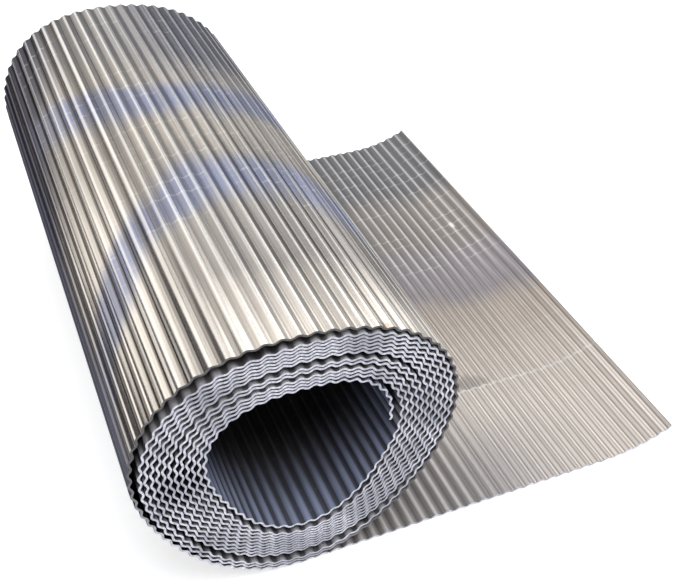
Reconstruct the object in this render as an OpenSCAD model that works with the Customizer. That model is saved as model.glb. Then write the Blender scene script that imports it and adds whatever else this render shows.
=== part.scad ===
// Corrugated metal sheet, partly unrolled: one sheet wound into a sagging roll that lies on its own tail.
// Its section is drawn in the X-Z plane and runs straight along Y, as the waves do.
// Angles in the roll are counted inward from below its axis: left, over the top, down the right side.

/* [Sheet] */
// Width of the sheet, which is the length of the roll
sheet_width = 300; // [100:1:1000]
// Thickness of the metal
sheet_thickness = 0.9; // [0.5:0.05:1]
// Distance from one crest to the next
wave_pitch = 6; // [5.4:0.1:8]
// Height of a wave, from the middle of the metal in a trough to its middle on a crest
wave_height = 1.05; // [0.6:0.05:1.2]
// Share of the pitch that is flat on a crest and in a trough
wave_flat = 0.15; // [0.1:0.01:0.17]

/* [Roll] */
// Turns from the tail to the inner end
turns = 12.73; // [4.1:0.01:16]
// Mean radius of the bore
bore_radius = 36.4; // [30:0.1:80]
// How far the section sags out of round, into three lobes
lobe = 3; // [0:0.1:4]
// Room between the crests of one turn and the troughs of the next
turn_clearance = 0.25; // [0.25:0.05:0.6]
// Share of the wave height by which the turns nest above and below the bore
nesting = 0.65; // [0:0.05:0.65]
// Extra room under the outer turn, at the upper left
outer_slack = 3.8; // [0:0.1:6]
// Extra room a few turns in, below the bore
lower_slack = 3.7; // [0:0.1:6]
// Extra room halfway in, above the bore
middle_slack = 2.4; // [0:0.1:6]
// Extra room a few turns from the bore, above it
upper_slack = 1.6; // [0:0.1:6]
// Extra room over the innermost turn, below the bore
inner_slack = 2.9; // [0:0.1:6]
// How far the inner end leans into the bore
inner_lean = 3; // [0:0.1:5]

/* [Tail] */
// Flat length of the tail, from below the roll's axis to where it curls up
tail_flat = 150; // [90:1:400]
// Radius of the curl at the free end
curl_radius = 80; // [40:1:200]
// Angle that the free end has curled through
curl_angle = 28; // [5:1:60]

/* [Hidden] */
degrees = 180 / PI;
full_turns = floor(turns);
// Waves that each turn has fewer than the turn around it, so that neighbours nest twice in each round
waves_lost = 2;
// Part of a turn over which the inner end leans in
lean_turns = 0.25;
// Each place where the winding has sprung open: turns in from the tail, and the extra room there
slacks = [
    [0.42, outer_slack],
    [2, lower_slack],
    [ceil(full_turns / 2) + 0.5, middle_slack],
    [full_turns - 3.5, upper_slack],
    [full_turns - 1, inner_slack],
];
sheet_depth = wave_height + sheet_thickness;
axis_height = winding_radius(0) + sheet_depth / 2;

function total(values) = len(values) == 0 ? 0 : values * [for (v = values) 1];
function reversed(list) = [for (i = [len(list) - 1:-1:0]) list[i]];
function part_of(list, first, last) = [for (i = [first:last]) list[i]];
function square_of(x) = x * x;

// Room that one turn takes at an angle: least where it nests, most where crests meet troughs
function turn_room(angle) =
    sheet_thickness + turn_clearance + wave_height * (1 - nesting * square_of(cos(angle)));

// Extra radius at an angle, from every sprung place that lies further in
function sprung(angle) = total([
    for (slack = slacks)
        let (past = angle - 360 * slack[0])
        past < 180 ? slack[1] * square_of(max(0, cos(past))) : 0
]);

// Radius of the middle of the metal, waves apart
function winding_radius(angle) =
    let (turns_left = turns - angle / 360)
    bore_radius + sheet_depth / 2 + lobe * cos(3 * angle)
    + turn_room(angle) * turns_left + sprung(angle)
    - inner_lean * square_of(max(0, 1 - turns_left / lean_turns));

// Mean radius of each turn, and the waves on it
turn_radii = [
    for (turn = [0:full_turns])
        total([for (angle = [10:10:360]) winding_radius(360 * turn + angle)]) / 36
];
turn_waves = [
    for (turn = [0:full_turns]) round(2 * PI * turn_radii[0] / wave_pitch) - waves_lost * turn
];

// Angle of a place along the roll, given in turns by the sheet's own length, so that the pitch stays even
// where lobes and nesting make a turn run wide or close
function angle_along(place) =
    let (turn = floor(place), share = place - turn, radius = turn_radii[turn])
    360 * place
    - degrees * lobe / 3 / radius * sin(3 * 360 * share)
    + degrees * nesting * wave_height * (turns - turn) / 4 / radius * sin(2 * 360 * share);

// A wave's crest (side 1) and trough (side -1), as shares of the wave, and its corners, flat or sharp
function side_place(side) = 0.5 - side / 4;
flat_corners = [
    for (side = [1, -1], edge = [-1, 1]) [side_place(side) + edge * wave_flat / 2, side]
];
sharp_corners = [for (side = [1, -1]) [side_place(side), side]];

// Each turn presses on the next at the right of the bore, where a trough of one meets a crest of the other.
// The seam is that trough or crest, in waves from the start of the turn.
seam_share = 0.75;
function seam_wave(turn, side) =
    round(seam_share * turn_waves[turn] - side_place(side)) + side_place(side);
last_seam = floor(turns - seam_share - 2 / turn_waves[full_turns]);

// Waves are flat where they show, on the outer and inmost turns, and where turns press on each other
function wave_corners(turn, wave) =
    let (
        shows = turn == 0 || turn >= full_turns - 1,
        presses = wave == floor(seam_wave(turn, 1)) || wave == floor(seam_wave(turn, -1))
    )
    shows || presses ? flat_corners : sharp_corners;

// Corners of the waves on the roll, from the tail inward: place in turns, and side
roll_corners = [
    for (
        turn = [0:full_turns],
        wave = [0:turn_waves[turn] - 1],
        corner = wave_corners(turn, wave)
    )
        let (place = turn + (wave + corner[0]) / turn_waves[turn])
        if (angle_along(place) <= 360 * turns) [place, corner[1]]
];
roll_line = [
    for (corner = roll_corners)
        let (
            angle = angle_along(corner[0]),
            radius = winding_radius(angle) + corner[1] * wave_height / 2
        )
        [0, axis_height] - radius * [sin(angle), cos(angle)]
];

// A place on the tail, out from below the roll's axis, and the direction across it there
curl_length = curl_radius * curl_angle / degrees;
function curl_turn(out) = max(0, out - tail_flat) / curl_radius * degrees;
function tail_point(out) =
    [min(out, tail_flat) + curl_radius * sin(curl_turn(out)),
     sheet_depth / 2 + curl_radius * (1 - cos(curl_turn(out)))];
function tail_normal(out) = [sin(curl_turn(out)), -cos(curl_turn(out))];

// Corners of the waves on the tail, from its free end to the roll
tail_line = [
    for (wave = [ceil((tail_flat + curl_length) / wave_pitch):-1:1], corner = flat_corners)
        let (out = (wave - corner[0]) * wave_pitch)
        if (out <= tail_flat + curl_length)
            tail_point(out) + corner[1] * wave_height / 2 * tail_normal(out)
];

// The line moved sideways by a distance, with mitred corners
function across(v) = [-v.y, v.x] / norm(v);
function moved(line, distance) = [
    for (i = [0:len(line) - 1])
        let (
            last = len(line) - 1,
            before = across(line[max(i, 1)] - line[max(i, 1) - 1]),
            after = across(line[min(i, last - 1) + 1] - line[min(i, last - 1)])
        )
        line[i] + distance * (before + after) / (1 + before * after)
];

// The sheet's two sides, from the free end to the inner end
sheet_line = concat(tail_line, roll_line);
outer_side = moved(sheet_line, sheet_thickness / 2);
inner_side = moved(sheet_line, -sheet_thickness / 2);
sheet_end = len(sheet_line) - 1;
middle_x = (min([for (p = outer_side) p.x]) + max([for (p = outer_side) p.x])) / 2;

// First corner past the middle of the seam, on a side of a turn
function seam_corner(turn, side) =
    let (seam = turn + seam_wave(turn, side) / turn_waves[turn])
    len(tail_line) + len([for (corner = roll_corners) if (corner[0] < seam) corner]);

// Outside of the roll and both sides of the tail, with the gap that runs on from between them to the seam
outline = [
    each part_of(outer_side, 0, seam_corner(1, 1) - 1),
    each reversed(part_of(inner_side, 0, seam_corner(0, -1) - 1)),
];

// Gap between a turn and the next one in, from seam to seam. The last one opens into the bore.
function gap(turn) =
    let (
        opens = turn == last_seam,
        inner_end = opens ? sheet_end : seam_corner(turn, -1) - 1,
        outer_end = opens ? sheet_end : seam_corner(turn + 1, 1) - 1
    )
    [
        each part_of(inner_side, seam_corner(turn - 1, -1), inner_end),
        each reversed(part_of(outer_side, seam_corner(turn, 1), outer_end)),
    ];

module corrugated_sheet() {
    color("silver")
        translate([-middle_x, 0, 0])
            rotate([90, 0, 0])
                linear_extrude(height = sheet_width, center = true)
                    difference() {
                        polygon(outline);
                        for (turn = [1:last_seam])
                            polygon(gap(turn));
                    }
}

corrugated_sheet();
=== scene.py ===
import bpy
import numpy as np
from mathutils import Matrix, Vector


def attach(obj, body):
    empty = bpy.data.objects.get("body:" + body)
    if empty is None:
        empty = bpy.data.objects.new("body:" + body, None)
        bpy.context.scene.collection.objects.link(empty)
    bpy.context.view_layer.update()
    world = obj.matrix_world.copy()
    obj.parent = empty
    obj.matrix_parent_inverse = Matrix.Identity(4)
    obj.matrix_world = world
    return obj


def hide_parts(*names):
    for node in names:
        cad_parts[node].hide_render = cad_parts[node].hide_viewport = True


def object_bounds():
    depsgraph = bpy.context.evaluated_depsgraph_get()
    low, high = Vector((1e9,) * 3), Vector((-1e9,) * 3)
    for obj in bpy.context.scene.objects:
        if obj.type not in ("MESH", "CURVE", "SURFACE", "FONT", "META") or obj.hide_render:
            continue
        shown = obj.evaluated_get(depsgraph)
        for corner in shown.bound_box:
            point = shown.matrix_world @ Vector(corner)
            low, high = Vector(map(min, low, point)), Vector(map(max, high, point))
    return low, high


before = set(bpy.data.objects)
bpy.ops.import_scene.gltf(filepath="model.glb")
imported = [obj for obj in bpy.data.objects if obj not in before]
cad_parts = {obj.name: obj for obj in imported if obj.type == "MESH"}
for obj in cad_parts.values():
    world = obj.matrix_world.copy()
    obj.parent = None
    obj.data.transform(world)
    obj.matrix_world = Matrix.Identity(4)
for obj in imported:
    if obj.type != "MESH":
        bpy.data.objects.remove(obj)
cad_low, cad_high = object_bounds()

# The viewpoint: a hand-held camera above the near end of the roll, a little to its left.
# It looks down along the roll, so that the bore, the outer turn and the tail all show.
camera_place = (-0.1499, -0.3925, 0.3547)
camera_turn = (0.8928, -0.0129, -0.3937)
camera_lens = 52.89
camera_sensor = 36.0

camera_data = bpy.data.cameras.new("camera")
camera_data.lens = camera_lens
camera_data.sensor_width = camera_sensor
camera = bpy.data.objects.new("camera", camera_data)
camera.location = camera_place
camera.rotation_euler = camera_turn
bpy.context.scene.collection.objects.link(camera)
bpy.context.scene.camera = camera

# The sheet's line: the path of the middle of the metal, seen along the waves.
# Soft metal was pressed into fine waves, wound up, and let sag until its turns nested
# above and below the bore.
sheet_thickness = 0.0009
wave_pitch = 0.006
wave_height = 0.00105
turns = 12.73
bore_radius = 0.0364
# How far the section sags out of round, into three lobes
lobe = 0.003
# Room between turns where they stand crest to trough, and the share of the wave height by which they nest
turn_clearance = 0.00025
nesting = 0.65
# Waves that each turn has fewer than the turn around it, so that neighbours nest twice in each round
waves_lost = 2
# How far the inner end leans into the bore, and the part of a turn over which it does
inner_lean = 0.003
lean_turns = 0.25
# The tail lies flat for a length from below the roll's axis, and then curls up to its free end
tail_flat = 0.150
curl_radius = 0.080
tail_length = 0.188
full_turn = 2 * np.pi
full_turns = int(turns)
sheet_depth = wave_height + sheet_thickness
# Each place where the winding has sprung open: turns in from the tail, and the extra room there
sprung_places = ((0.42, 0.0038), (2.0, 0.0037), (6.5, 0.0024), (8.5, 0.0016), (11.0, 0.0029))


def turn_room(angle):
    """Room of one turn: metal, clearance and wave height, less a share of it by the square of the cosine."""
    return sheet_thickness + turn_clearance + wave_height * (1 - nesting * np.cos(angle) ** 2)


def sprung(angle):
    """Extra radius: the room of each sprung place times a squared cosine, there and on all turns outside."""
    extra = np.zeros_like(angle)
    for place, room in sprung_places:
        past = angle - full_turn * place
        lift = np.maximum(0, np.cos(past)) ** 2
        extra += np.where(past < np.pi, room * lift, 0)
    return extra


def winding_radius(angle):
    """Radius of the winding: bore, three lobes, the room of every turn further in, and the sprung places.

    The inner end leans in by a square that starts a quarter turn before it.
    """
    inward = turns - angle / full_turn
    lobes = lobe * np.cos(3 * angle)
    lean = inner_lean * np.maximum(0, 1 - inward / lean_turns) ** 2
    return bore_radius + sheet_depth / 2 + lobes + turn_room(angle) * inward + sprung(angle) - lean


# Mean radius of each turn, taken every ten degrees, and the waves on it
turn_samples = np.radians(np.arange(10, 361, 10))
turn_radii = np.array([
    winding_radius(full_turn * turn + turn_samples).mean() for turn in range(full_turns + 1)
])
outer_waves = int(round(full_turn * turn_radii[0] / wave_pitch))
turn_waves = outer_waves - waves_lost * np.arange(full_turns + 1)
axis_height = winding_radius(np.zeros(1))[0] + sheet_depth / 2


def roll_line(turn_points):
    """Line of the roll: radius plus a sine wave, at angles that keep the waves even along lobes and nesting.

    Gives X, Z, the unwaved length from below the axis and the wave from -1 to 1, from the outside in.
    """
    counts = turn_waves * turn_points
    turn = np.repeat(np.arange(full_turns + 1), counts)
    share = np.concatenate([np.arange(count) / count for count in counts])
    radius = turn_radii[turn]
    even_lobes = lobe / 3 / radius * np.sin(3 * full_turn * share)
    even_nests = nesting * wave_height * (turns - turn) / 4 / radius * np.sin(2 * full_turn * share)
    angle = full_turn * (turn + share) - even_lobes + even_nests
    within = angle <= full_turn * turns
    angle = angle[within]
    wave = np.sin(full_turn * share * turn_waves[turn])[within]
    distance = winding_radius(angle) + wave_height / 2 * wave
    length = np.cumsum(winding_radius(angle) * np.gradient(angle))
    return -distance * np.sin(angle), axis_height - distance * np.cos(angle), length, wave


def tail_line(points_per_wave):
    """Line of the tail: flat, then an arc that curls up, with the sine wave set off across it.

    Gives X, Z, the unwaved length and the wave, from the free end in.
    The length is negative, counted out from below the axis.
    """
    out = np.arange(wave_pitch / points_per_wave, tail_length, wave_pitch / points_per_wave)[::-1]
    curl = np.maximum(0, out - tail_flat) / curl_radius
    wave = -np.sin(full_turn * out / wave_pitch)
    rise = wave_height / 2 * wave
    x = np.minimum(out, tail_flat) + curl_radius * np.sin(curl) + rise * np.sin(curl)
    z = sheet_depth / 2 + curl_radius * (1 - np.cos(curl)) - rise * np.cos(curl)
    return x, z, -out, wave


# Turns that show get finer waves than those between them, of which only the ends show
fine_points = 12
coarse_points = 8
turn_number = np.arange(full_turns + 1)
turn_shows = (turn_number == 0) | (turn_number >= full_turns - 1)
tail = tail_line(fine_points)
roll = roll_line(np.where(turn_shows, fine_points, coarse_points))
line_x, line_z, line_length, line_wave = (np.concatenate(pair) for pair in zip(tail, roll))

# The sheet itself: one strip of metal with two faces and a cut edge all round.
# It was slit to width and cut to length, so its edges are bare and a little bright.
rows = 7
crease_angle = np.radians(50)
sheet_width = cad_high.y - cad_low.y
row_place = np.linspace(-sheet_width / 2, sheet_width / 2, rows)
roll_middle = cad_low.x - (line_x.min() - sheet_thickness / 2)


def strip_faces(middle_x, middle_z):
    """Both faces of the strip: the line moved half the thickness along its normal, and carried across.

    The ring of each column runs across the outer face and back across the inner one.
    """
    along_x = np.gradient(middle_x)
    along_z = np.gradient(middle_z)
    long = np.hypot(along_x, along_z)
    half = sheet_thickness / 2
    out_x = -along_z / long * half
    out_z = along_x / long * half
    ring = np.zeros((len(middle_x), 2 * rows, 3))
    ring[:, :rows, 0] = (middle_x + out_x)[:, None]
    ring[:, :rows, 2] = (middle_z + out_z)[:, None]
    ring[:, rows:, 0] = (middle_x - out_x)[:, None]
    ring[:, rows:, 2] = (middle_z - out_z)[:, None]
    ring[:, :rows, 1] = row_place
    ring[:, rows:, 1] = row_place[::-1]
    ring[:, :, 0] += roll_middle
    return ring


def strip_quads(columns):
    """Quads between neighbouring columns of the ring, and a strip of quads that closes each end of the sheet.

    Also tells which quads are cut edge: the two that turn over at the sides, and all of the two ends.
    """
    size = 2 * rows
    column, place = np.meshgrid(np.arange(columns - 1), np.arange(size), indexing="ij")
    after = (place + 1) % size
    here = column * size
    there = here + size
    quads = np.stack([here + place, there + place, there + after, here + after], axis=-1).reshape(-1, 4)
    is_edge = ((place == rows - 1) | (place == size - 1)).reshape(-1)
    step = np.arange(rows - 1)
    end = np.stack([step, step + 1, size - 2 - step, size - 1 - step], axis=-1)
    last = (columns - 1) * size
    quads = np.concatenate([quads, end, last + end[:, ::-1]])
    is_edge = np.concatenate([is_edge, np.ones(2 * (rows - 1), bool)])
    return quads, is_edge


ring = strip_faces(line_x, line_z)
quads, is_edge = strip_quads(len(line_x))
sheet_mesh = bpy.data.meshes.new("corrugated_strip")
sheet_mesh.from_pydata(ring.reshape(-1, 3), [], quads)
sheet_mesh.polygons.foreach_set("use_smooth", np.ones(len(quads), bool))
sheet_mesh.polygons.foreach_set("material_index", is_edge.astype(np.int32))
sheet_mesh.set_sharp_from_angle(angle=crease_angle)

# Place on the flat sheet, for the tarnish and the painted light and shade: length from below the axis, and Y
# across
flat_place = np.zeros((len(line_x), 2 * rows, 2))
flat_place[..., 0] = line_length[:, None]
flat_place[..., 1] = ring[..., 1]
corner_vertex = np.zeros(len(sheet_mesh.loops), np.int32)
sheet_mesh.loops.foreach_get("vertex_index", corner_vertex)
corner_place = flat_place.reshape(-1, 2)[corner_vertex]
place_map = sheet_mesh.uv_layers.new(name="sheet_place")
place_map.data.foreach_set("uv", corner_place.astype(np.float32).ravel())

# Ridge of each face: 1 on its crests and 0 in its valleys, so a crest outside is a valley inside
face_wave = np.repeat(line_wave[:, None], 2 * rows, axis=1)
face_wave[:, rows:] *= -1
ridge_map = sheet_mesh.attributes.new("ridge", "FLOAT", "POINT")
ridge_map.data.foreach_set("value", (0.5 + 0.5 * face_wave).astype(np.float32).ravel())

# Colours of the tarnish and of the painted light and shade: the roll's flank, crown and bands, its inside,
# the tail, and what lies over them
flank_reflection_pale = (0.55, 0.55, 0.56, 1)
flank_shade_slate = (0.12, 0.124, 0.16, 1)
crown_cream = (0.98, 0.905, 0.815, 1)
crown_beige = (0.54, 0.50, 0.457, 1)
crown_dusk = (0.47, 0.455, 0.45, 1)
crown_grey = (0.395, 0.37, 0.35, 1)
far_violet = (0.24, 0.245, 0.30, 1)
band_blue = (0.305, 0.345, 0.51, 1)
# Inside the roll: bluish grey at the bore's ends, and painted shade deep in the bore and between the turns,
# lighter at their mouths
inner_grey = (0.35, 0.40, 0.58, 1)
inside_shade = (0.015, 0.014, 0.018, 1)
between_shade = (0.075, 0.073, 0.082, 1)
mouth_grey = (0.66, 0.65, 0.69, 1)
tail_beige = (0.95, 0.86, 0.785, 1)
tail_brown = (0.395, 0.36, 0.335, 1)
tail_tan = (0.62, 0.545, 0.475, 1)
tail_blue = (0.415, 0.38, 0.40, 1)
tail_dark = (0.235, 0.235, 0.25, 1)
tail_cool = (0.58, 0.55, 0.56, 1)
# Grime, which also paints the shade in the valleys, on the slopes, by the roll and in fine lines on the tail
grime_and_shade = (0.13, 0.12, 0.11, 1)
# Rubbed metal, also the colour of the painted highlights on crests and of the dent's painted glint
rubbed_and_glint = (0.92, 0.90, 0.86, 1)
rust = (0.42, 0.22, 0.09, 1)
white = (1, 1, 1, 1)

# Colours of the cut edge: between and on the slitter's marks, on duller stretches, and on the outer turn
edge_grey = (0.47, 0.475, 0.54, 1)
edge_bright = (0.81, 0.81, 0.88, 1)
edge_dull = (0.27, 0.275, 0.33, 1)
edge_dark = (0.07, 0.065, 0.065, 1)

# Y of the sheet's two cut edges, and the length along at which the inmost turn starts, the face of the bore
near_edge = -0.15
far_edge = 0.15
bore_start = line_length[-1] - full_turn * bore_radius

# Each blue band: length along at its peak, Y there, how fast it bows away, and where it starts and is full
blue_bands = ((0.228, 0.034, 3.0, 0.125, 0.165), (0.217, -0.041, -8.6, 0.112, 0.145))
band_core = 0.006
band_reach = 0.026

# Y of the straight light lines that rollers left across the tail and round the roll
tail_lines = (0.135, 0.128, 0.120, 0.109, 0.100, 0.086, 0.072, 0.055, 0.045, 0.037, 0.021, 0.012, -0.055)
roll_lines = (0.128, 0.112, 0.068, 0.052, 0.041, 0.012, -0.004, -0.018, -0.037, -0.048, -0.066)
# Y of one unbroken light line across the near part of the tail
score_across = -0.0855
# Half widths of these lines where they are full, and where a roller's line and the unbroken one end
line_core = 0.0002
line_reach = 0.0007
score_reach = 0.0008

# A painted glint of a dent and a smudge on the tail, and a rust spot on the near edge: length along and Y,
# and half sizes
dent_glint_place = (-0.170, 0.0435)
dent_glint_size = (0.0016, 0.004)
smudge_place = (-0.111, -0.079)
smudge_size = (0.018, 0.007)
rust_place = (0.236, -0.1485)
rust_size = (0.004, 0.002)

# Lumps of noise drawn out along the sheet and across it, by the size of a lump each way
line_breaks = (0.02, 0.01)
wave_tones = (0.006, 0.3)
fine_streaks = (0.0007, 0.07)
fine_scratches = (0.006, 0.0004)
fine_dents = (0.002, 0.02)
# Even lumps: those that edges of the tarnish wander by, the slitter's marks, and dull stretches of the edge
wander_lump = 0.03
slitter_lump = 0.0012
stretch_lump = 0.018
# How far the edges of the tarnish wander, and the depth and share of the fine dents
wander_reach = 0.024
dent_depth = 0.0002
dent_share = 0.15

# Sockets of a colour mix: its share, its two colours and its result
mix_share = 0
mix_first = 6
mix_second = 7
mix_result = 2


class SurfaceNodes:
    """Nodes of one material, added and joined by short calls that take numbers or sockets."""

    def __init__(self, name):
        self.material = bpy.data.materials.new(name)
        self.material.use_nodes = True
        self.tree = self.material.node_tree
        self.shader = self.tree.nodes["Principled BSDF"]

    def put(self, socket, value):
        """Link a socket to the input, or set the input to a number or colour."""
        if isinstance(value, bpy.types.NodeSocket):
            self.tree.links.new(value, socket)
        else:
            socket.default_value = value

    def surface(self, name, value):
        """Link or set one input of the surface."""
        self.put(self.shader.inputs[name], value)

    def sheet_place(self):
        """Place on the flat sheet: the length along it, and Y across it."""
        place = self.tree.nodes.new("ShaderNodeUVMap")
        place.uv_map = "sheet_place"
        split = self.tree.nodes.new("ShaderNodeSeparateXYZ")
        self.put(split.inputs[0], place.outputs[0])
        return split.outputs["X"], split.outputs["Y"]

    def solid_place(self):
        """Place in the part's own frame."""
        return self.tree.nodes.new("ShaderNodeTexCoord").outputs["Object"]

    def math(self, operation, *values):
        """Result of one operation on one, two or three values."""
        node = self.tree.nodes.new("ShaderNodeMath")
        node.operation = operation
        for socket, value in zip(node.inputs, values):
            self.put(socket, value)
        return node.outputs[0]

    def product(self, *values):
        """All the values multiplied together."""
        result = values[0]
        for value in values[1:]:
            result = self.math("MULTIPLY", result, value)
        return result

    def total(self, start, *parts):
        """A start plus each part, which is a value times its weight."""
        result = start
        for value, weight in parts:
            result = self.math("ADD", result, self.product(value, weight))
        return result

    def fade(self, value, low, high):
        """0 at low and 1 at high, with an eased step between them; low may be the larger one."""
        node = self.tree.nodes.new("ShaderNodeMapRange")
        node.interpolation_type = "SMOOTHSTEP"
        self.put(node.inputs["Value"], value)
        node.inputs["From Min"].default_value = low
        node.inputs["From Max"].default_value = high
        return node.outputs["Result"]

    def blend(self, share, first, second):
        """Colour that goes from the first to the second as the share goes from 0 to 1."""
        node = self.tree.nodes.new("ShaderNodeMix")
        node.data_type = "RGBA"
        self.put(node.inputs[mix_share], share)
        self.put(node.inputs[mix_first], first)
        self.put(node.inputs[mix_second], second)
        return node.outputs[mix_result]

    def paint(self, colour, coat, *shares):
        """The colour under a coat that covers it by the product of the shares."""
        return self.blend(self.product(*shares), colour, coat)

    def ramp(self, value, low, high, stops):
        """Colour looked up along a line from low to high, with stops given in the value's own unit."""
        node = self.tree.nodes.new("ShaderNodeValToRGB")
        elements = node.color_ramp.elements
        while len(elements) < len(stops):
            elements.new(1.0)
        for element, (place, colour) in zip(elements, stops):
            element.position = (place - low) / (high - low)
            element.color = colour
        shifted = self.math("SUBTRACT", value, low)
        self.put(node.inputs[0], self.math("DIVIDE", shifted, high - low))
        return node.outputs[0]

    def noise(self, place, size, detail=3.0):
        """Soft noise around 0.5, with lumps of about the given size."""
        node = self.tree.nodes.new("ShaderNodeTexNoise")
        self.put(node.inputs["Vector"], place)
        node.inputs["Scale"].default_value = 1 / size
        node.inputs["Detail"].default_value = detail
        return node.outputs[0]

    def streaks(self, along, across, size):
        """Noise whose lumps are drawn out: one size along the sheet and another across it."""
        node = self.tree.nodes.new("ShaderNodeCombineXYZ")
        self.put(node.inputs["X"], self.math("DIVIDE", along, size[0]))
        self.put(node.inputs["Y"], self.math("DIVIDE", across, size[1]))
        return self.noise(node.outputs[0], 1.0)

    def line_at(self, across, place, reach):
        """1 on a straight line at a place across the sheet, fading to 0 on either side of it."""
        off = self.math("ABSOLUTE", self.math("SUBTRACT", across, place))
        return self.fade(off, reach, line_core)

    def roller_marks(self, along, across, places):
        """Thin straight lines at places across the sheet, broken along their length."""
        lines = 0.0
        for place in places:
            lines = self.math("MAXIMUM", lines, self.line_at(across, place, line_reach))
        return self.product(lines, self.fade(self.streaks(along, across, line_breaks), 0.4, 0.6))

    def spot(self, along, across, place, half_size):
        """1 at a place on the sheet, fading to 0 at the rim of an ellipse round it."""
        off_along = self.math("DIVIDE", self.math("SUBTRACT", along, place[0]), half_size[0])
        off_across = self.math("DIVIDE", self.math("SUBTRACT", across, place[1]), half_size[1])
        square = self.math("ADD", self.product(off_along, off_along), self.product(off_across, off_across))
        return self.fade(square, 1.0, 0.1)


def roll_colour(nodes, along, across):
    """Colour of the roll: flank painted as reflection and shade, crown that is cream near and darker towards
    the far end, partly as painted light, two blue bands, and painted shade inside.
    """
    # Crown: cream at the near end, then beige, grey and dusk, and violet at the far right; the darkening
    # towards the far end is partly painted light
    crown_left = nodes.ramp(across, near_edge, far_edge, (
        (near_edge, crown_cream),
        (-0.06, crown_cream),
        (0.0, crown_beige),
        (0.065, crown_beige),
        (0.11, crown_dusk),
        (far_edge, crown_dusk),
    ))
    crown_right = nodes.ramp(across, near_edge, far_edge, (
        (near_edge, crown_cream),
        (-0.145, crown_cream),
        (-0.105, crown_grey),
        (-0.04, crown_grey),
        (0.0, crown_beige),
        (0.05, crown_beige),
        (0.10, crown_dusk),
        (far_edge, crown_dusk),
    ))
    crown = nodes.blend(nodes.fade(along, 0.15, 0.20), crown_left, crown_right)
    far_right = nodes.product(nodes.fade(across, 0.045, 0.09), nodes.fade(along, 0.19, 0.235))
    crown = nodes.paint(crown, far_violet, far_right, 0.95)
    # Flank: painted slate shade by the floor and high on the flank, and a painted pale reflection of the
    # floor between
    flank = nodes.ramp(along, 0.0, 0.45, (
        (0.0, flank_shade_slate),
        (0.03, flank_reflection_pale),
        (0.082, flank_reflection_pale),
        (0.097, flank_shade_slate),
        (0.45, flank_shade_slate),
    ))

    # The painted slate shade reaches further over the crown towards the far end
    slate_reach = nodes.product(nodes.math("MAXIMUM", across, -0.03), 0.2)
    past_slate = nodes.math("SUBTRACT", along, slate_reach)
    colour = nodes.blend(nodes.fade(past_slate, 0.122, 0.148), flank, crown)
    for peak_along, peak_across, bow, starts, full in blue_bands:
        from_peak = nodes.math("SUBTRACT", along, peak_along)
        arc = nodes.product(from_peak, from_peak, bow)
        off = nodes.math("SUBTRACT", across, nodes.math("ADD", arc, peak_across))
        band = nodes.fade(nodes.math("ABSOLUTE", off), band_reach, band_core)
        colour = nodes.paint(colour, band_blue, band, nodes.fade(along, starts, full), 0.85)

    # Inside, painted shade: the metal is painted dark deep in the bore and deep between the turns, and
    # lighter towards the two ends of the roll
    from_middle = nodes.math("ABSOLUTE", across)
    between = nodes.blend(nodes.fade(from_middle, 0.1450, 0.1495), between_shade, mouth_grey)
    colour = nodes.blend(nodes.fade(along, 0.36, 0.42), colour, between)
    in_bore = nodes.blend(nodes.fade(from_middle, 0.105, 0.148), inside_shade, inner_grey)
    return nodes.blend(nodes.fade(along, bore_start - 0.01, bore_start), colour, in_bore)


def tail_colour(nodes, along, across, wandering):
    """Tarnish of the tail, in slanting zones: beige near, then tan, blue, brown, and dark at the far side."""
    slant = nodes.product(nodes.math("ADD", along, 0.12), 0.17)
    colour = nodes.ramp(nodes.math("SUBTRACT", wandering, slant), near_edge, far_edge, (
        (near_edge, tail_beige),
        (-0.10, tail_beige),
        (-0.024, tail_tan),
        (-0.009, tail_blue),
        (0.026, tail_blue),
        (0.042, tail_brown),
        (0.078, tail_brown),
        (0.097, tail_dark),
        (far_edge, tail_dark),
    ))
    # A cool grey along the tail's near edge: partly the cut edge's tint, partly painted shade
    cool = nodes.product(nodes.fade(across, -0.09, -0.14), nodes.fade(along, -0.15, -0.08))
    colour = nodes.paint(colour, tail_cool, cool, 0.85)
    colour = nodes.paint(colour, rubbed_and_glint, nodes.roller_marks(along, across, tail_lines), 0.45)
    colour = nodes.paint(colour, grime_and_shade, nodes.spot(along, wandering, smudge_place, smudge_size), 0.4)
    # The dent's painted glint
    return nodes.paint(colour, rubbed_and_glint, nodes.spot(along, across, dent_glint_place, dent_glint_size))


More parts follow.
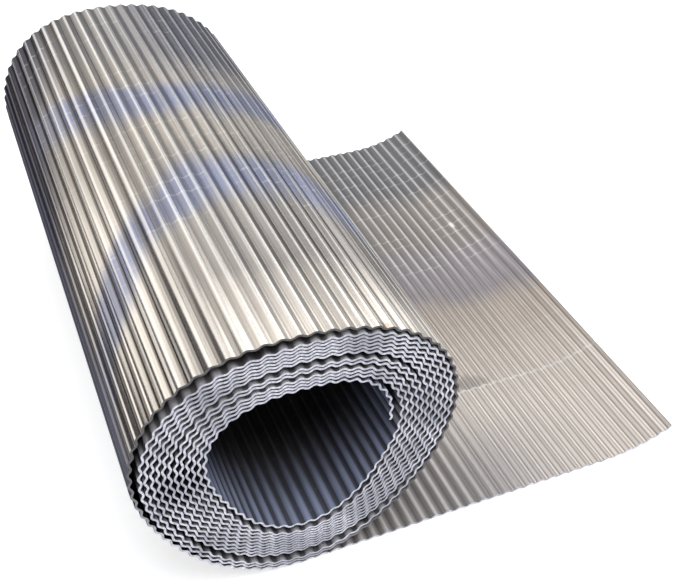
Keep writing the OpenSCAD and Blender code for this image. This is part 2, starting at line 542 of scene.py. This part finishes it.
def sheet_metal():
    """Tarnished soft metal: grime and painted shade in the valleys and on the slopes, crests rubbed and
    painted bright, fine lines of painted shade, light lines, streaks and scratches.
    """
    nodes = SurfaceNodes("sheet_metal")
    along, across = nodes.sheet_place()
    ridge_node = nodes.tree.nodes.new("ShaderNodeAttribute")
    ridge_node.attribute_name = "ridge"
    ridge = ridge_node.outputs["Fac"]

    # Parts of the sheet, each 1 on the part and 0 off it
    on_tail = nodes.fade(along, 0.0, -0.004)
    near_tail = nodes.product(on_tail, nodes.fade(across, 0.03, -0.03))
    far_tail = nodes.product(on_tail, nodes.fade(across, -0.03, 0.03))
    pale_tail = nodes.product(near_tail, nodes.fade(along, -0.07, -0.11))
    free_end = nodes.fade(along, -0.14, -0.18)
    # The tail next to the roll, where the valleys and slopes get a painted shadow of the roll
    by_roll = nodes.product(nodes.fade(along, -0.12, -0.07), nodes.fade(across, -0.05, -0.11), on_tail)
    past_flank = nodes.fade(along, 0.12, 0.15)
    clean_crown = nodes.fade(along, 0.16, 0.21)
    dull_crown = nodes.product(nodes.fade(along, 0.15, 0.22), nodes.fade(along, 0.42, 0.36))
    inside = nodes.fade(along, 0.36, 0.44)

    # Zones of tarnish and of painted light and shade, with edges that wander by a few millimetres, and light
    # lines round the roll
    wander = nodes.math("SUBTRACT", nodes.noise(nodes.solid_place(), wander_lump), 0.5)
    wandering = nodes.math("ADD", across, nodes.product(wander, wander_reach))
    on_roll = roll_colour(nodes, along, wandering)
    colour = nodes.blend(on_tail, on_roll, tail_colour(nodes, along, across, wandering))
    round_roll = nodes.roller_marks(along, across, roll_lines)
    colour = nodes.paint(colour, rubbed_and_glint, round_roll, nodes.fade(along, 0.13, 0.15), 0.35)

    # Painted shade in the valleys, with some grime, and a thinner painted shade on the slopes
    # Painted shade in the valleys of the turns inside the roll
    colour = nodes.paint(colour, inside_shade, nodes.fade(ridge, 0.75, 0.25), inside, 0.8)
    valley_shade_share = nodes.total(
        0.80, (clean_crown, -0.56), (on_tail, -0.36), (pale_tail, -0.42), (by_roll, 0.45)
    )
    colour = nodes.paint(colour, grime_and_shade, nodes.fade(ridge, 0.34, 0.08), valley_shade_share)
    wave = nodes.math("SUBTRACT", nodes.product(ridge, 2.0), 1.0)
    slope = nodes.math("SUBTRACT", 1.0, nodes.product(wave, wave))
    slope_shade_share = nodes.total(
        0.32, (near_tail, -0.2), (free_end, -0.22), (by_roll, 0.45), (clean_crown, -0.06)
    )
    colour = nodes.paint(colour, grime_and_shade, slope, slope_shade_share)

    # Crests rubbed bright and given a painted highlight, most of all on the crown and on the far part of the
    # tail
    crest_rub_and_highlight = nodes.total(0.0, (past_flank, 0.42), (far_tail, 0.38))
    crest_rub_and_highlight = nodes.product(crest_rub_and_highlight, nodes.fade(along, 0.40, 0.36))
    crest_rub_and_highlight = nodes.math("ADD", crest_rub_and_highlight, 0.08)
    colour = nodes.paint(colour, rubbed_and_glint, nodes.fade(ridge, 0.82, 0.98), crest_rub_and_highlight)

    # Near tail: thin lines of painted shade on the crests and low on the slopes, and one light line across
    # the waves
    low_slope = nodes.product(nodes.fade(ridge, 0.06, 0.20), nodes.fade(ridge, 0.48, 0.30))
    fine_shade_line = nodes.math("MAXIMUM", low_slope, nodes.fade(ridge, 0.90, 0.97))
    fine_shade_place = nodes.total(near_tail, (by_roll, -0.8))
    colour = nodes.paint(colour, grime_and_shade, fine_shade_line, fine_shade_place, 0.6)
    score = nodes.line_at(across, score_across, score_reach)
    colour = nodes.paint(colour, rubbed_and_glint, score, near_tail, 0.7)

    # Tone that changes from wave to wave, streaks along the waves, scratches across them, and the rust spot
    wave_tone = nodes.fade(nodes.streaks(along, across, wave_tones), 0.52, 0.36)
    colour = nodes.paint(colour, grime_and_shade, wave_tone, nodes.total(0.25, (on_tail, -0.2)))
    streak = nodes.streaks(along, across, fine_streaks)
    colour = nodes.paint(colour, grime_and_shade, nodes.fade(streak, 0.55, 0.3), 0.2)
    scratch = nodes.fade(nodes.streaks(along, across, fine_scratches), 0.66, 0.74)
    colour = nodes.paint(colour, rubbed_and_glint, scratch, 0.2)
    colour = nodes.paint(colour, rust, nodes.spot(along, across, rust_place, rust_size), 0.4)
    nodes.surface("Base Color", colour)
    nodes.surface("Specular Tint", nodes.blend(0.85, white, colour))

    # The tail and the turns inside the roll keep a dull oxide, which is less of a mirror
    nodes.surface("Metallic", nodes.total(1.0, (inside, -0.75), (on_tail, -0.45), (dull_crown, -0.2)))
    nodes.surface("Roughness", nodes.total(0.16, (inside, 0.2), (on_tail, 0.24), (streak, 0.16)))
    bump = nodes.tree.nodes.new("ShaderNodeBump")
    bump.inputs["Strength"].default_value = dent_share
    bump.inputs["Distance"].default_value = dent_depth
    nodes.put(bump.inputs["Height"], nodes.streaks(along, across, fine_dents))
    nodes.surface("Normal", bump.outputs[0])
    return nodes.material


def cut_edge():
    """Bare cut metal: lilac grey, with marks of the slitter and duller stretches, dark on the outer turn."""
    nodes = SurfaceNodes("cut_edge")
    along = nodes.sheet_place()[0]
    place = nodes.solid_place()
    mark = nodes.noise(place, slitter_lump, 4.0)
    colour = nodes.blend(nodes.fade(mark, 0.35, 0.65), edge_grey, edge_bright)
    stretch = nodes.fade(nodes.noise(place, stretch_lump), 0.42, 0.68)
    colour = nodes.paint(colour, edge_dull, stretch, 0.6)
    on_outer_turn = nodes.product(nodes.fade(along, 0.06, 0.12), nodes.fade(along, 0.42, 0.36))
    colour = nodes.paint(colour, edge_dark, on_outer_turn, 0.9)
    nodes.surface("Base Color", colour)
    nodes.surface("Metallic", 0.7)
    nodes.surface("Roughness", nodes.total(0.35, (mark, 0.3)))
    return nodes.material


sheet_mesh.materials.append(sheet_metal())
sheet_mesh.materials.append(cut_edge())
sheet = bpy.data.objects.new("corrugated_strip", sheet_mesh)
bpy.context.scene.collection.objects.link(sheet)
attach(sheet, "root")
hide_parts("corrugated_sheet")

# The floor: a plain white sweep that the sheet lies on, wide enough to fill the view.
# It shows white to the camera and in the metal, and keeps the soft shadow under the roll.
floor_size = 8.0
floor_drop = 0.0002
floor_white = (0.8, 0.8, 0.8, 1)
floor_roughness = 0.9
floor_glow = 0.6
bpy.ops.mesh.primitive_plane_add(size=floor_size, location=(0, 0, -floor_drop))
floor = bpy.context.object
floor.name = "floor"
floor_nodes = SurfaceNodes("white_floor")
ray = floor_nodes.tree.nodes.new("ShaderNodeLightPath").outputs
seen_or_mirrored = floor_nodes.math("MAXIMUM", ray["Is Camera Ray"], ray["Is Glossy Ray"])
seen = floor_nodes.math("MAXIMUM", seen_or_mirrored, ray["Is Transmission Ray"])
floor_nodes.surface("Base Color", floor_white)
floor_nodes.surface("Roughness", floor_roughness)
floor_nodes.surface("Specular IOR Level", 0.0)
floor_nodes.surface("Emission Color", white)
floor_nodes.surface("Emission Strength", floor_nodes.product(seen, floor_glow))
floor.data.materials.append(floor_nodes.material)

# The light: a wide soft box behind at the left, whose glow runs along the crests, a narrow one behind the
# roll, one behind at the right for the tail, and a cool one above the near end that reaches into the bore.
# Round them stands an even studio, darker towards the left.
roll_aim = (0, 0, 0.05)
tail_aim = (0.05, 0, 0)
warm_white = (1.0, 0.98, 0.95)
soft_white = (1.0, 0.99, 0.97)
cool_white = (0.95, 0.97, 1.0)


def soft_box(name, place, aim, size, power, colour):
    """A rectangular area lamp at a place, turned to face the aim. Its size is its width and its length."""
    lamp_data = bpy.data.lights.new(name, "AREA")
    lamp_data.shape = "RECTANGLE"
    lamp_data.size = size[0]
    lamp_data.size_y = size[1]
    lamp_data.energy = power
    lamp_data.color = colour
    lamp = bpy.data.objects.new(name, lamp_data)
    lamp.location = place
    lamp.visible_camera = False
    toward = Vector(aim) - Vector(place)
    lamp.rotation_euler = toward.to_track_quat("-Z", "Y").to_euler()
    bpy.context.scene.collection.objects.link(lamp)


soft_box("back_box", (-0.42, 1.05, 0.74), roll_aim, size=(0.9, 1.1), power=4.1, colour=warm_white)
soft_box("strip_box", (0.26, 1.02, 1.00), roll_aim, size=(0.16, 0.8), power=0.55, colour=soft_white)
soft_box("tail_box", (0.62, 0.85, 0.98), tail_aim, size=(0.4, 0.8), power=1.9, colour=soft_white)
soft_box("top_box", (0.0, -0.5, 1.3), roll_aim, size=(0.9, 0.9), power=13, colour=cool_white)

# Walls of the studio, which turn from dark to light with the share of X in a ray's direction
studio_dark = (0.06, 0.06, 0.07, 1)
studio_light = (0.48, 0.49, 0.51, 1)
dark_side = -0.6
light_side = 0.3
studio = bpy.data.worlds.new("studio")
studio.use_nodes = True
studio_nodes = studio.node_tree.nodes
studio_links = studio.node_tree.links
way = studio_nodes.new("ShaderNodeTexCoord")
way_parts = studio_nodes.new("ShaderNodeSeparateXYZ")
studio_links.new(way.outputs["Generated"], way_parts.inputs[0])
to_right = studio_nodes.new("ShaderNodeMapRange")
to_right.inputs["From Min"].default_value = dark_side
to_right.inputs["From Max"].default_value = light_side
studio_links.new(way_parts.outputs["X"], to_right.inputs["Value"])
walls = studio_nodes.new("ShaderNodeMix")
walls.data_type = "RGBA"
walls.inputs[mix_first].default_value = studio_dark
walls.inputs[mix_second].default_value = studio_light
studio_links.new(to_right.outputs["Result"], walls.inputs[mix_share])
studio_links.new(walls.outputs[mix_result], studio_nodes["Background"].inputs["Color"])
bpy.context.scene.world = studio
bpy.context.scene.view_settings.view_transform = "Standard"
